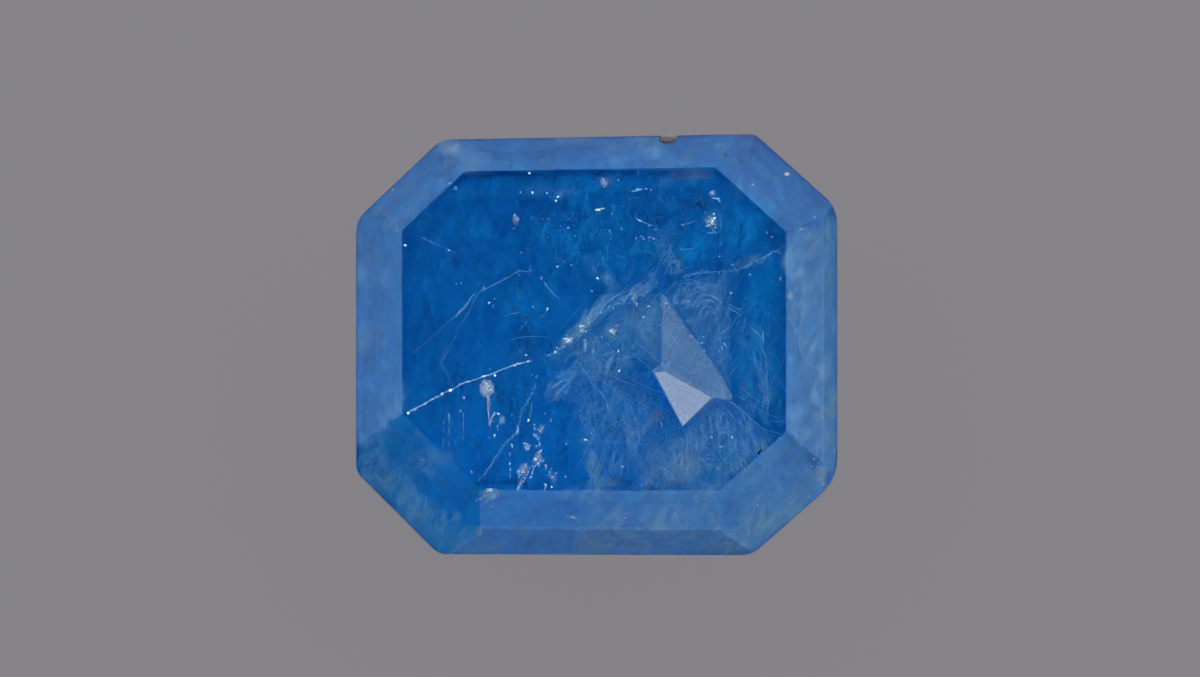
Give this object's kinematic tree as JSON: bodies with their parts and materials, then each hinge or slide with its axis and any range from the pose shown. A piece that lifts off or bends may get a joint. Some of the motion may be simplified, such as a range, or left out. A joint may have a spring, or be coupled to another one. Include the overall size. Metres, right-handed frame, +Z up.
{
  "type": "faceted gemstone",
  "caption": "Loose octagonal step-cut blue sapphire, clear deep blue corundum with a wide table, bevelled crown, thin girdle and stepped pavilion.",
  "frame": {"origin": "middle of the stone's outline in plan, at the level of the flat culet it rests on", "axes": "+X along the stone's length, +Y towards the long side with the narrow crown band, +Z up, out of the table"},
  "size_m": [0.01, 0.0088, 0.0052],
  "materials": {
    "blue_corundum": "polished, clear deep blue, with pale healed fractures inside"
  },
  "bodies": {
    "root": {"sapphire": "blue_corundum"}
  },
  "joints": []
}
